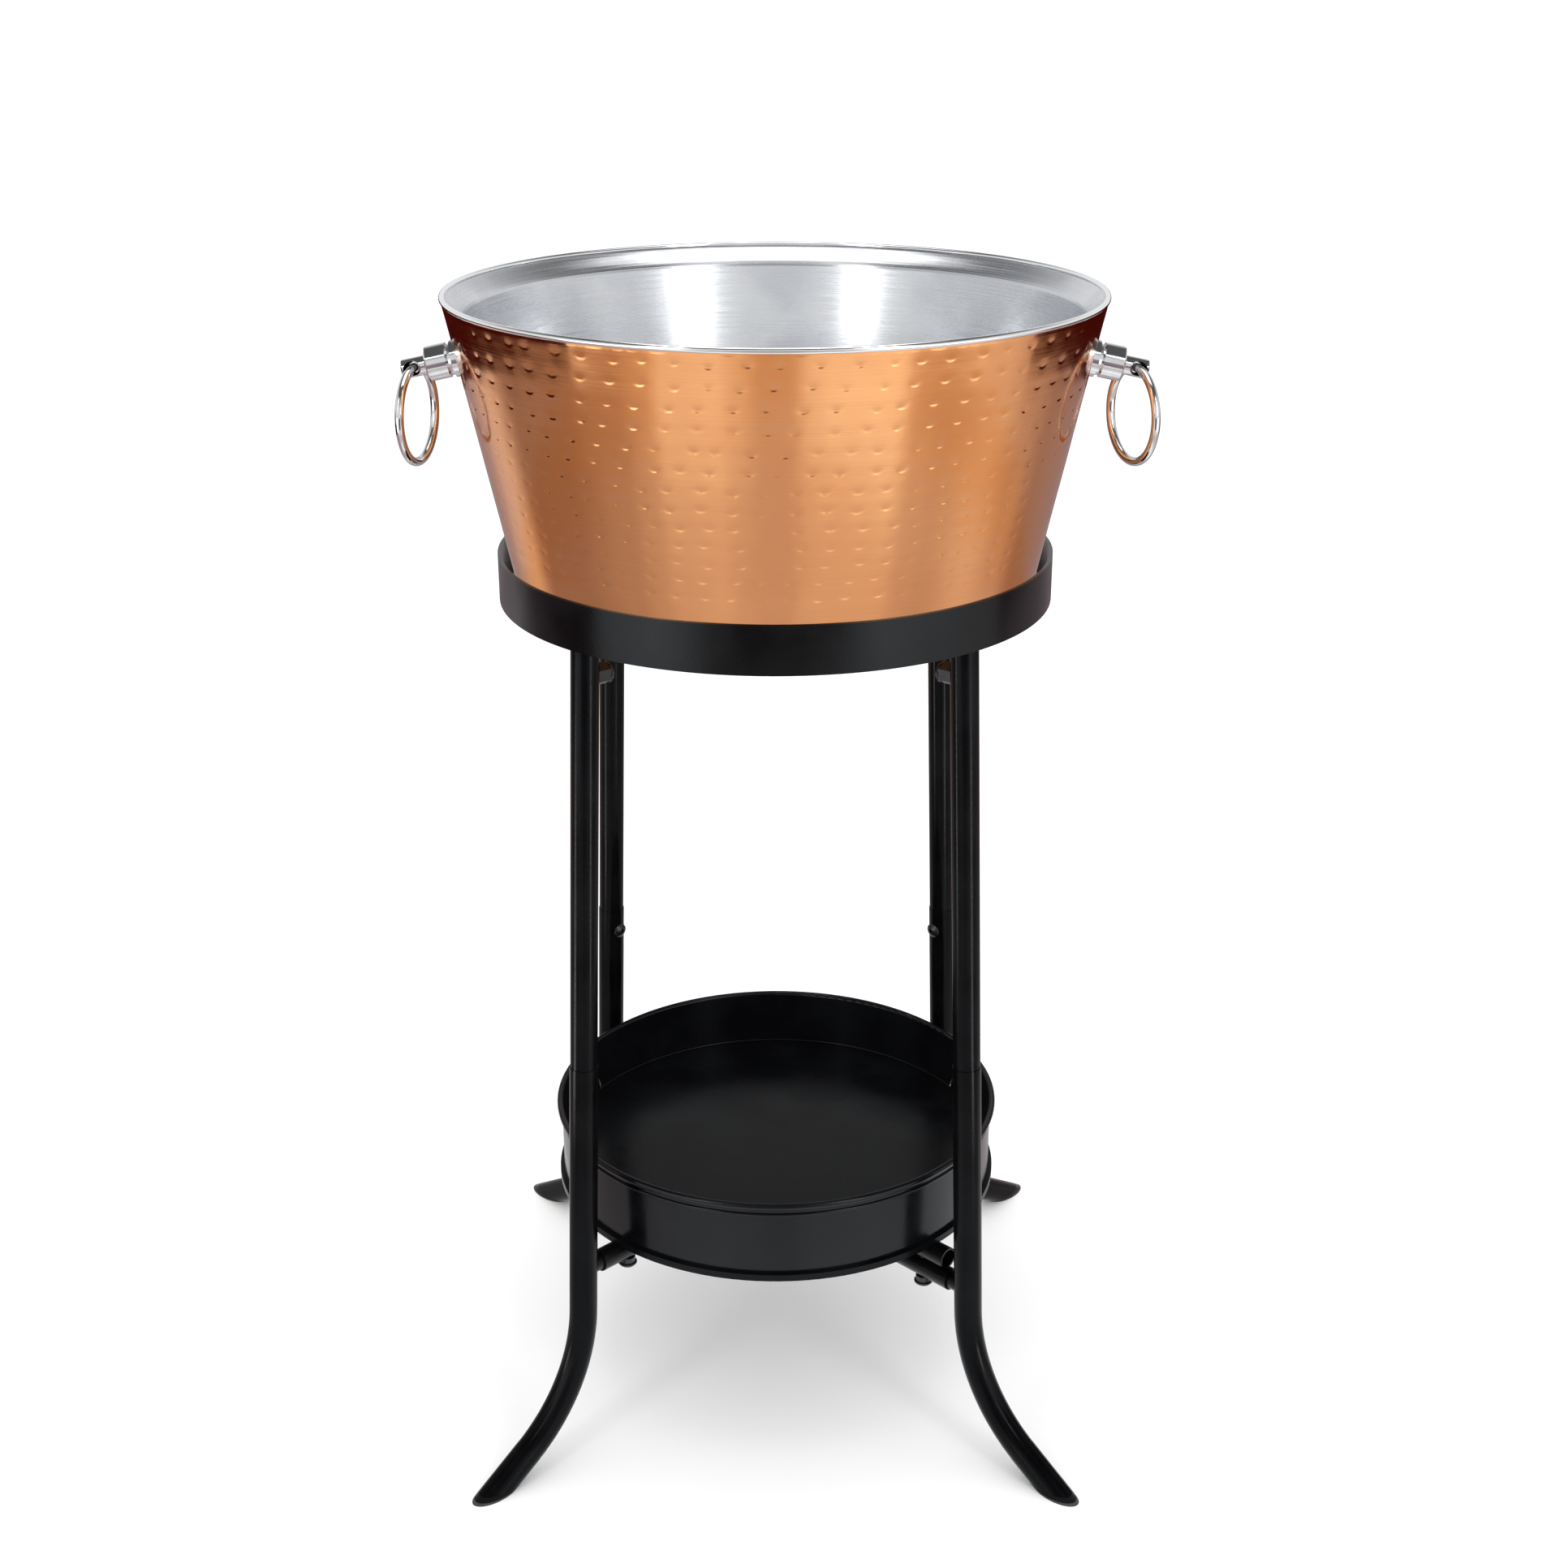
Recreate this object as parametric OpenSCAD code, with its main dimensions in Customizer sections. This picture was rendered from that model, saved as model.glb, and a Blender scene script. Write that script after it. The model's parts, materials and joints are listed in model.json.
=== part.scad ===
// Champagne bucket stand: a hammered double-wall tub with two ring handles stands in
// the ring of a four-leg tubular stand, which carries a round tray lower down.
// Origin: on the floor, under the centre. Z is up, and the front faces -Y.

/* [Stand ring] */
// Outer diameter of the band
band_d = 382; // [370:1:400]
// Height of the band
band_h = 33; // [25:1:40]
// Thickness of the band
band_t = 2.5; // [2:0.1:4]
// Height of the band's lower edge over the floor
band_z = 611; // [560:1:680]
// Inner diameter of the ledge that the tub stands on
ledge_bore_d = 296; // [240:1:310]
// Thickness of the ledge
ledge_t = 3; // [2:0.1:5]

/* [Legs] */
// Distance of a leg's axis from the centre, at its top
leg_top_r = 173.5; // [170:0.5:176]
// Outward lean of the legs in degrees
leg_lean = 2.6; // [0:0.1:5]
// Diameter of the upper leg tube
upper_d = 19; // [18:0.5:20]
// Diameter of the lower leg tube
lower_d = 20; // [19.5:0.5:22]
// Bore of both leg tubes
leg_bore_d = 16; // [14:0.5:16]
// Height of the joint between the upper and the lower leg
joint_z = 307; // [290:1:340]
// Height at which the foot bend starts
bend_z = 112; // [105:1:125]
// Radius of the foot bend, at the tube's axis
bend_r = 115; // [105:1:120]
// Slope of the foot below level in degrees
foot_slope = 31; // [28:1:35]
// Thickness of the foot plug's flange
plug_flange_t = 1.5; // [1:0.1:3]

/* [Tray and braces] */
// Outer diameter of the tray's wall
tray_d = 325; // [310:1:328]
// Height of the tray
tray_h = 62; // [50:1:70]
// Height of the tray's underside over the floor
tray_z = 154; // [145:1:180]
// Thickness of the tray's sheet
tray_t = 1.2; // [1:0.1:2]
// Diameter of the brace tubes
brace_d = 16; // [14:0.5:18]
// Depth of the tray inside
tray_depth = 44; // [35:1:50]
// Distance of the tray's studs from the centre
tray_stud_r = 153; // [140:1:154]

/* [Tub] */
// Outer radius of the copper wall at the rim
tub_rim_r = 221; // [215:0.5:226]
// Height of the tub
tub_h = 205; // [190:1:230]
// Taper of the wall in degrees from upright
tub_taper = 12.2; // [11:0.1:13]
// Radius of the corner at the tub's base
tub_corner_r = 18; // [14:1:24]
// Thickness of the copper outer wall
shell_t = 1.2; // [0.8:0.1:2]
// Thickness of the steel liner
liner_t = 1; // [0.8:0.1:2]
// Distance between the faces of the double wall
wall_gap = 9; // [8.5:0.1:11]

/* [Handles] */
// Depth of the handles' cross holes below the rim
handle_drop = 53; // [45:1:70]
// Distance of the cross hole from the wall, along the stem
hole_reach = 32; // [31:0.5:36]
// Diameter of the ring's wire
wire_d = 6; // [5:0.1:6]
// Outer diameter of the ring
ring_d = 70; // [64:1:76]
// Turn of the left ring about the upright, in degrees
left_ring_skew = 13; // [0:1:20]
// Turn of the right ring about the upright, in degrees
right_ring_skew = 20; // [0:1:20]

/* [Hidden] */
$fn = 96;
EPS = 0.01;
PAST = 1; // how far a cutter runs past a face
CUT_SIZE = 1000; // side of a block that cuts at a plane

BLACK = [0.06, 0.06, 0.065];
BLACK_STEEL = [0.12, 0.12, 0.13];
COPPER = [0.78, 0.48, 0.31];
CHROME = [0.82, 0.83, 0.85];
STEEL = [0.70, 0.71, 0.73];

// Azimuths of the legs: front left, front right, rear left, rear right
FRONT_LEFT = 225;
FRONT_RIGHT = 315;
REAR_LEFT = 135;
REAR_RIGHT = 45;
LEGS = [FRONT_LEFT, FRONT_RIGHT, REAR_LEFT, REAR_RIGHT];
RIGHT = 0;
LEFT = 180;

// Stand ring
band_r = band_d / 2;
band_edge = 0.4;
ledge_top = band_z + ledge_t;

// Legs, in a frame that starts at the top of the leg's axis and leans with it
upper_len = (band_z - joint_z) / cos(leg_lean);
bend_start = (band_z - bend_z) / cos(leg_lean);
bend_angle = 90 - leg_lean - foot_slope;
foot_tail = 60;
foot_swell = 0.1; // the straight foot is this much thicker all round than the bend
foot_overlap = 1;
plug_start = 8;
fit_gap = 0.1;
hole_gap = 0.2;
spigot_len = 45;
connector_up = 34;
connector_down = 42;

// Clamp screws at the leg tops
clamp_drop = 23;
clamp_screw_d = 8;
clamp_nut_af = 13;
clamp_nut_len = 8;
clamp_head_d = 14;
clamp_head_len = 4.6;
clamp_tip = 4; // distance of the screw's end from the leg's axis
clamp_socket_af = 5;
clamp_nut_cope = 3; // how far the nut's sides reach round the tube

// Button-head screws at the leg joints
joint_screw_drop = 17;
joint_screw_d = 6;
joint_head_d = 11;
joint_head_len = 3.3;
joint_tip = 1.5;
joint_socket_af = 4;
thread_gap = 0.05;
seat_gap = 0.05;
head_crown = 0.72; // radius of a screw head's dome, in head diameters
socket_floor = 0.35; // height of the socket's floor, in head lengths

// Braces
upper_brace_z = tray_z - brace_d / 2;
lower_brace_z = upper_brace_z - brace_d;
brace_end_r = 180;
brace_t = 1.5;
brace_bore_d = brace_d - 2 * brace_t;
brace_plug_in = 14;
brace_reach = 14;
packer_r0 = 128;
packer_r1 = 176;

// Tray
tray_r = tray_d / 2;
rim_bead_r = 2.4;
rib_drop = 9.6; // of the wall's small rib, below the rim
seam_h = 5;
seam_out = 3;
tray_floor_z = tray_z + tray_h - tray_depth; // top of the floor
stud_d = 6;
stud_weld_d = 12;
stud_weld_tip_d = 7;
stud_weld_h = 2;
dome_d = 13.6;
dome_neck_d = 11.4;
dome_neck_h = 4.5;
dome_cap_h = 4.5;
dome_h = dome_neck_h + dome_cap_h;
dome_ball_r = 8.4;
// The lower brace runs from the front right to the rear left leg, under packers
packed = [false, true, true, false];
function brace_axis_z(i) = packed[i] ? lower_brace_z : upper_brace_z;
function brace_bottom_z(i) = brace_axis_z(i) - brace_d / 2;

// Tub
tub_z = ledge_top;
tub_rim_z = tub_z + tub_h;
rim_bead_wire_r = 2;
rim_bead_z = tub_rim_z - rim_bead_wire_r;
liner_flare_h = 16;
corner_steps = 8;
flare_steps = 8;

// Handles
handle_z = tub_rim_z - handle_drop + hole_reach * sin(tub_taper);
stem_d = 13;
stem_over = 8.5; // length of the stem beyond its cross hole
stem_end = hole_reach + stem_over;
base_d = 25;
base_len = 7;
base_step = 2;
base_cone = 4; // by how much the base's cone narrows
groove_d = 15;
groove_len = 1.6;
collar_d = 23.5;
collar_end = 23;
chamfer = 1;
tail_d = 8;
handle_nut_af = 13;
handle_nut_t = 5;
ring_r = (ring_d - wire_d) / 2;
hole_r = wire_d / 2 + 0.4; // at the middle of the cross hole
hole_flare = 21.2; // degrees by which the cross hole widens to each side
stem_in = wall_gap - 0.5;
nut_seat_gap = 0.2;

// Turn of a ring about the upright; its cross hole is turned half as far
function ring_turn(azimuth) = azimuth == RIGHT ? right_ring_skew : -left_ring_skew;

function wall_r(z, off = 0) =
    tub_rim_r - (tub_rim_z - z) * tan(tub_taper) - off / cos(tub_taper);

// Section of the tub's outer wall, moved inward by off, from the axis to height z_top
function tub_path(off, z_top) =
    let (rc = wall_r(tub_z + tub_corner_r, tub_corner_r), zc = tub_z + tub_corner_r,
         r = tub_corner_r - off)
    concat(
        [[0, tub_z + off]],
        [for (i = [0 : corner_steps])
            let (a = -90 + i * (90 - tub_taper) / corner_steps)
            [rc + r * cos(a), zc + r * sin(a)]],
        [[wall_r(z_top, off), z_top]]
    );

// Distance of the liner's face from the outer wall: it closes on the shell at the rim
function flare(u) = u * u * (3 - 2 * u);
function liner_off(z, off) =
    z > tub_rim_z - liner_flare_h
        ? shell_t + (off - shell_t) * flare((tub_rim_z - z) / liner_flare_h)
        : off;
function liner_path(off, z_top) =
    let (z0 = tub_rim_z - liner_flare_h)
    concat(
        tub_path(off, z0),
        [for (i = [1 : flare_steps])
            let (z = z0 + i * (z_top - z0) / flare_steps)
            [wall_r(z, liner_off(z, off)), z]]
    );
function reversed(list) = [for (i = [len(list) - 1 : -1 : 0]) list[i]];

module each_leg() {
    for (azimuth = LEGS) on_leg(azimuth) children();
}

// Frame of one leg: Z runs up its axis from 0 at the top, X points outward
module on_leg(azimuth) {
    rotate([0, 0, azimuth])
        translate([leg_top_r, 0, band_z])
            rotate([0, -leg_lean, 0]) children();
}

// Everything above height z
module above(z) {
    translate([-CUT_SIZE / 2, -CUT_SIZE / 2, z]) cube(CUT_SIZE);
}

module below(z) {
    translate([-CUT_SIZE / 2, -CUT_SIZE / 2, z - CUT_SIZE]) cube(CUT_SIZE);
}

module tube(d, bore, h) {
    difference() {
        cylinder(d = d, h = h);
        translate([0, 0, -PAST]) cylinder(d = bore, h = h + 2 * PAST);
    }
}

// Rod along the inward radius of a leg, from x0 out to x1
module inward_rod(d, x0, x1) {
    translate([-x1, 0, 0]) rotate([0, 90, 0]) cylinder(d = d, h = x1 - x0);
}

// Domed head of a screw with a hex socket, on a shank; +Z is the head's side
module socket_screw(shank_d, shank_len, head_d, head_len, socket_af) {
    difference() {
        union() {
            translate([0, 0, -shank_len]) cylinder(d = shank_d, h = shank_len + EPS);
            intersection() {
                cylinder(d = head_d, h = head_len);
                translate([0, 0, head_len - head_d * head_crown])
                    sphere(r = head_d * head_crown);
            }
        }
        translate([0, 0, head_len * socket_floor])
            cylinder(d = socket_af / cos(30), h = head_len, $fn = 6);
    }
}

/* ---- Stand ring ---- */

module ring_band() {
    color(BLACK)
        translate([0, 0, band_z]) rotate_extrude($fn = 180) {
            translate([band_r - band_t, band_edge]) square([band_t, band_h - 2 * band_edge]);
            translate([band_r - band_t + band_edge, 0])
                square([band_t - 2 * band_edge, band_h]);
        }
}

module ring_ledge() {
    color(BLACK)
        translate([0, 0, band_z]) difference() {
            cylinder(r = band_r - band_t, h = ledge_t, $fn = 180);
            translate([0, 0, -PAST])
                cylinder(d = ledge_bore_d, h = ledge_t + 2 * PAST, $fn = 180);
        }
}

module ring_spigots() {
    color(BLACK_STEEL)
        difference() {
            each_leg() difference() {
                translate([0, 0, -spigot_len])
                    cylinder(d = leg_bore_d - 2 * fit_gap, h = spigot_len + 2 * PAST);
                translate([0, 0, -clamp_drop])
                    inward_rod(clamp_screw_d + 2 * hole_gap, clamp_tip - PAST, leg_bore_d);
            }
            above(band_z);
        }
}

/* ---- Legs ---- */

module upper_leg(azimuth) {
    color(BLACK)
        difference() {
            on_leg(azimuth) difference() {
                translate([0, 0, -upper_len]) tube(upper_d, leg_bore_d, upper_len + 2 * PAST);
                translate([0, 0, -clamp_drop])
                    inward_rod(clamp_screw_d + 2 * hole_gap, clamp_tip, upper_d);
            }
            above(band_z);
        }
}

// Frame at the end of the foot bend: -Z runs on down the foot
module at_foot() {
    translate([bend_r, 0, -bend_start])
        rotate([0, -bend_angle, 0]) translate([-bend_r, 0, 0]) children();
}

// Solid that follows the lower leg from the joint round the bend to below the floor
module lower_leg_rod(d) {
    translate([0, 0, -bend_start]) cylinder(d = d, h = bend_start - upper_len);
    translate([bend_r, 0, -bend_start]) rotate([90, 0, 0]) rotate([0, 0, 180])
        rotate_extrude(angle = bend_angle) translate([bend_r, 0]) circle(d = d);
    at_foot() translate([0, 0, -foot_tail])
        cylinder(d = d + 2 * foot_swell, h = foot_tail + foot_overlap);
}

module lower_leg(azimuth) {
    color(BLACK)
        difference() {
            on_leg(azimuth) difference() {
                lower_leg_rod(lower_d);
                lower_leg_rod(leg_bore_d);
                translate([0, 0, -upper_len - joint_screw_drop])
                    inward_rod(joint_screw_d + 2 * hole_gap, joint_tip, lower_d);
            }
            below(plug_flange_t);
        }
}

module leg_connectors() {
    color(STEEL)
        each_leg() difference() {
            translate([0, 0, -upper_len - connector_down])
                cylinder(d = leg_bore_d - 2 * fit_gap, h = connector_up + connector_down);
            translate([0, 0, -upper_len - joint_screw_drop])
                inward_rod(joint_screw_d + 2 * thread_gap, -leg_bore_d, leg_bore_d);
        }
}

module leg_joint_screws() {
    seat = lower_d / 2 + seat_gap;
    color(BLACK_STEEL)
        each_leg()
            translate([-seat, 0, -upper_len - joint_screw_drop]) rotate([0, -90, 0])
                socket_screw(joint_screw_d, seat - joint_tip, joint_head_d,
                             joint_head_len, joint_socket_af);
}

module leg_clamp_nuts() {
    color(BLACK_STEEL)
        each_leg() difference() {
            translate([-upper_d / 2 - clamp_nut_len, 0, -clamp_drop]) rotate([0, 90, 0])
                cylinder(d = clamp_nut_af / cos(30), h = clamp_nut_len + clamp_nut_cope, $fn = 6);
            translate([0, 0, -2 * clamp_drop]) cylinder(d = upper_d, h = 2 * clamp_drop);
            translate([0, 0, -clamp_drop])
                inward_rod(clamp_screw_d + 2 * thread_gap, 0, 2 * upper_d);
        }
}

module leg_clamp_screws() {
    seat = upper_d / 2 + clamp_nut_len;
    color(BLACK_STEEL)
        each_leg()
            translate([-seat, 0, -clamp_drop]) rotate([0, -90, 0])
                socket_screw(clamp_screw_d, seat - clamp_tip, clamp_head_d,
                             clamp_head_len, clamp_socket_af);
}

module foot_plug(azimuth) {
    difference() {
        on_leg(azimuth) at_foot() translate([0, 0, -foot_tail]) cylinder(d = lower_d, h = foot_tail);
        below(0);
        above(plug_flange_t);
    }
    difference() {
        on_leg(azimuth) at_foot() translate([0, 0, -foot_tail])
            cylinder(d = leg_bore_d - 2 * fit_gap, h = foot_tail - plug_start);
        below(plug_flange_t / 2);
    }
}

module foot_plugs() {
    color(BLACK_STEEL)
        for (azimuth = LEGS) foot_plug(azimuth);
}

/* ---- Braces ---- */

// Holes for the two tray studs along one brace
module stud_holes(azimuth, d) {
    rotate([0, 0, azimuth])
        for (side = [-1, 1])
            translate([side * tray_stud_r, 0, 0])
                cylinder(d = d, h = 2 * brace_d, center = true);
}

module brace_tube(azimuth, z) {
    color(BLACK)
        difference() {
            rotate([0, 0, azimuth]) translate([-brace_end_r, 0, z]) rotate([0, 90, 0])
                tube(brace_d, brace_bore_d, 2 * brace_end_r);
            translate([0, 0, z]) stud_holes(azimuth, stud_d + 2 * hole_gap);
        }
}

// Each plug fills the end of its brace tube and is coped to the leg
module brace_end_plugs() {
    color(BLACK_STEEL)
        for (i = [0 : 3]) difference() {
            rotate([0, 0, LEGS[i]])
                translate([brace_end_r - brace_plug_in, 0, brace_axis_z(i)])
                    rotate([0, 90, 0])
                        cylinder(d = brace_bore_d - 2 * fit_gap, h = brace_plug_in + brace_reach);
            on_leg(LEGS[i])
                translate([0, 0, -bend_start]) cylinder(d = lower_d, h = bend_start - upper_len);
        }
}

module brace_packers() {
    color(BLACK)
        for (i = [0 : 3]) if (packed[i]) difference() {
            rotate([0, 0, LEGS[i]]) translate([packer_r0, 0, upper_brace_z])
                rotate([0, 90, 0]) tube(brace_d, brace_bore_d, packer_r1 - packer_r0);
            translate([0, 0, upper_brace_z]) stud_holes(LEGS[i], stud_d + 2 * hole_gap);
        }
}

/* ---- Tray ---- */

module tray_wall() {
    color(BLACK)
        translate([0, 0, tray_z]) rotate_extrude($fn = 180) {
            translate([tray_r - tray_t, seam_h]) square([tray_t, tray_h - seam_h - rim_bead_r]);
            translate([tray_r + rim_bead_r - tray_t, tray_h - rim_bead_r]) circle(r = rim_bead_r);
            translate([tray_r, tray_h - rib_drop]) circle(r = tray_t);
        }
}

// Pan that stands in the wall on a skirt, with the seam flange at its foot
module tray_floor() {
    color(BLACK)
        rotate_extrude($fn = 180) {
            translate([0, tray_floor_z - tray_t]) square([tray_r - tray_t, tray_t]);
            translate([tray_r - 2 * tray_t, tray_z]) square([tray_t, tray_floor_z - tray_z]);
            translate([tray_r - 2 * tray_t, tray_z]) square([seam_out + 2 * tray_t, seam_h]);
        }
}

// Moves to the tray stud at leg i
module at_stud(i) {
    rotate([0, 0, LEGS[i]]) translate([tray_stud_r, 0, 0]) children();
}

// Studs welded under the floor, which run down through the braces
module tray_studs() {
    top = tray_floor_z - tray_t;
    color(BLACK_STEEL)
        for (i = [0 : 3]) at_stud(i) {
            end = brace_bottom_z(i) - dome_neck_h;
            translate([0, 0, end]) cylinder(d = stud_d, h = top - end);
            translate([0, 0, top - stud_weld_h])
                cylinder(d1 = stud_weld_tip_d, d2 = stud_weld_d, h = stud_weld_h);
        }
}

module tray_dome_nuts() {
    color(BLACK)
        for (i = [0 : 3]) at_stud(i)
            translate([0, 0, brace_bottom_z(i) - dome_h]) difference() {
                union() {
                    translate([0, 0, dome_cap_h]) cylinder(d = dome_neck_d, h = dome_neck_h);
                    intersection() {
                        cylinder(d = dome_d, h = dome_cap_h);
                        translate([0, 0, dome_ball_r]) sphere(r = dome_ball_r);
                    }
                }
                translate([0, 0, dome_cap_h])
                    cylinder(d = stud_d + 2 * thread_gap, h = dome_h);
            }
}

/* ---- Tub ---- */

module shell_body() {
    rotate_extrude($fn = 180)
        polygon(concat(tub_path(0, rim_bead_z), reversed(tub_path(shell_t, rim_bead_z))));
}

// Frame on the tub's outer wall: Z points out of the wall, X down it
module on_wall(azimuth) {
    rotate([0, 0, azimuth])
        translate([wall_r(handle_z), 0, handle_z])
            rotate([0, 90 + tub_taper, 0]) children();
}

module tub_outer_shell() {
    color(COPPER)
        difference() {
            shell_body();
            for (azimuth = [LEFT, RIGHT])
                on_wall(azimuth)
                    cylinder(d = tail_d + 2 * hole_gap, h = wall_gap, center = true);
        }
}

module tub_liner() {
    color(STEEL)
        difference() {
            rotate_extrude($fn = 180) {
                polygon(concat(liner_path(wall_gap + shell_t, rim_bead_z),
                               reversed(liner_path(wall_gap + shell_t + liner_t, rim_bead_z))));
                translate([wall_r(rim_bead_z) - shell_t, rim_bead_z]) circle(r = rim_bead_wire_r);
            }
            shell_body();
        }
}

/* ---- Handles ---- */

module handle_base(azimuth) {
    color(CHROME)
        difference() {
            on_wall(azimuth) difference() {
                translate([0, 0, -PAST]) union() {
                    cylinder(d = base_d, h = base_len + PAST - base_step);
                    cylinder(d1 = base_d, d2 = base_d - base_cone, h = base_len + PAST);
                }
                translate([0, 0, -2 * PAST])
                    cylinder(d = tail_d + 2 * hole_gap, h = base_len + 4 * PAST);
            }
            rotate_extrude($fn = 180) polygon(concat(tub_path(0, rim_bead_z), [[0, rim_bead_z]]));
        }
}

module handle_collar(azimuth) {
    color(CHROME)
        on_wall(azimuth) difference() {
            union() {
                translate([0, 0, base_len]) cylinder(d = groove_d, h = groove_len + EPS);
                translate([0, 0, base_len + groove_len])
                    cylinder(d = collar_d, h = collar_end - base_len - groove_len - chamfer);
                translate([0, 0, collar_end - chamfer])
                    cylinder(d1 = collar_d, d2 = collar_d - 2 * chamfer, h = chamfer);
            }
            cylinder(d = tail_d + 2 * hole_gap, h = 2 * collar_end);
        }
}

module handle_stem(azimuth) {
    color(CHROME)
        on_wall(azimuth) difference() {
            union() {
                translate([0, 0, -stem_in]) cylinder(d = tail_d, h = collar_end + stem_in + EPS);
                translate([0, 0, collar_end])
                    cylinder(d = stem_d, h = stem_end - collar_end - chamfer);
                translate([0, 0, stem_end - chamfer])
                    cylinder(d1 = stem_d, d2 = stem_d - 2 * chamfer, h = chamfer);
            }
            translate([0, 0, hole_reach]) rotate([90 - ring_turn(azimuth) / 2, 0, 0])
                for (side = [-1, 1]) scale([1, 1, side])
                    cylinder(r1 = hole_r, r2 = hole_r + stem_d * tan(hole_flare), h = stem_d);
        }
}

module handle_nut(azimuth) {
    color(STEEL)
        on_wall(azimuth) translate([0, 0, -shell_t - nut_seat_gap - handle_nut_t]) difference() {
            cylinder(d = handle_nut_af / cos(30), h = handle_nut_t, $fn = 6);
            translate([0, 0, -PAST])
                cylinder(d = tail_d + 2 * thread_gap, h = handle_nut_t + 2 * PAST);
        }
}

// The ring hangs from the cross hole, turned a little about the upright
module handle_ring(azimuth) {
    color(CHROME)
        rotate([0, 0, azimuth])
            translate([wall_r(handle_z) + hole_reach * cos(tub_taper), 0, tub_rim_z - handle_drop])
                rotate([0, 0, ring_turn(azimuth)]) translate([0, 0, -ring_r]) rotate([0, 90, 0])
                    rotate_extrude() translate([ring_r, 0]) circle(d = wire_d);
}

ring_band();
ring_ledge();
ring_spigots();
upper_leg(FRONT_LEFT);  // front_left_upper_leg
upper_leg(FRONT_RIGHT);  // front_right_upper_leg
upper_leg(REAR_LEFT);  // rear_left_upper_leg
upper_leg(REAR_RIGHT);  // rear_right_upper_leg
lower_leg(FRONT_LEFT);  // front_left_lower_leg
lower_leg(FRONT_RIGHT);  // front_right_lower_leg
lower_leg(REAR_LEFT);  // rear_left_lower_leg
lower_leg(REAR_RIGHT);  // rear_right_lower_leg
leg_connectors();
leg_joint_screws();
leg_clamp_nuts();
leg_clamp_screws();
foot_plugs();
brace_tube(REAR_RIGHT, upper_brace_z);  // upper_brace_tube
brace_tube(REAR_LEFT, lower_brace_z);  // lower_brace_tube
brace_end_plugs();
brace_packers();
tray_wall();
tray_floor();
tray_studs();
tray_dome_nuts();
tub_outer_shell();
tub_liner();
handle_base(LEFT);  // left_handle_base
handle_base(RIGHT);  // right_handle_base
handle_collar(LEFT);  // left_handle_collar
handle_collar(RIGHT);  // right_handle_collar
handle_stem(LEFT);  // left_handle_stem
handle_stem(RIGHT);  // right_handle_stem
handle_nut(LEFT);  // left_handle_nut
handle_nut(RIGHT);  // right_handle_nut
handle_ring(LEFT);  // left_handle_ring
handle_ring(RIGHT);  // right_handle_ring
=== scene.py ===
import json
import math
import random

import bpy
from mathutils import Matrix, Vector, noise


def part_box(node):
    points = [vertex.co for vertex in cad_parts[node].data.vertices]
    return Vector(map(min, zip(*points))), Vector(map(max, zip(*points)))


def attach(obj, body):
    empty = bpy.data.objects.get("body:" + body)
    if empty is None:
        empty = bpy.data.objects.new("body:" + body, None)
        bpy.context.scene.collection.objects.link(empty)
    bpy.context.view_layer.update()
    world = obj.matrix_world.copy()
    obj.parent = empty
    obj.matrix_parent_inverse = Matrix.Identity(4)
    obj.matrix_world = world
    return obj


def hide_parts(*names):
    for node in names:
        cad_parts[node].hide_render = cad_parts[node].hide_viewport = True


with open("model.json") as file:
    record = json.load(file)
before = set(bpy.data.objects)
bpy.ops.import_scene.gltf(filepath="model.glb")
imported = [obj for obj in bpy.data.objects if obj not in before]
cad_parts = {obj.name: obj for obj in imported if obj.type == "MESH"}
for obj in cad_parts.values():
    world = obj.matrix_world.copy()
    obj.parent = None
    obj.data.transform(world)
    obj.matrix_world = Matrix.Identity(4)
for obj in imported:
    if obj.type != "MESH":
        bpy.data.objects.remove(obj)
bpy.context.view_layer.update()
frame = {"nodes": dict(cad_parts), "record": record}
MM = 0.001

# ---------------------------------------------------------------- camera

CAMERA_DISTANCE = 1.498
CAMERA_HEIGHT = 1.052
CAMERA_SIDE = 0.006
CAMERA_PITCH = math.radians(21.4)
CAMERA_LENS = 51.2


def add_camera():
    """The photograph's viewpoint: in front, above the tub, looking down at the stand."""
    data = bpy.data.cameras.new("camera")
    data.lens = CAMERA_LENS
    camera = bpy.data.objects.new("camera", data)
    bpy.context.scene.collection.objects.link(camera)
    camera.location = (CAMERA_SIDE, -CAMERA_DISTANCE, CAMERA_HEIGHT)
    camera.rotation_euler = (math.pi / 2 - CAMERA_PITCH, 0, 0)
    bpy.context.scene.camera = camera


# ---------------------------------------------------------------- materials


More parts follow.
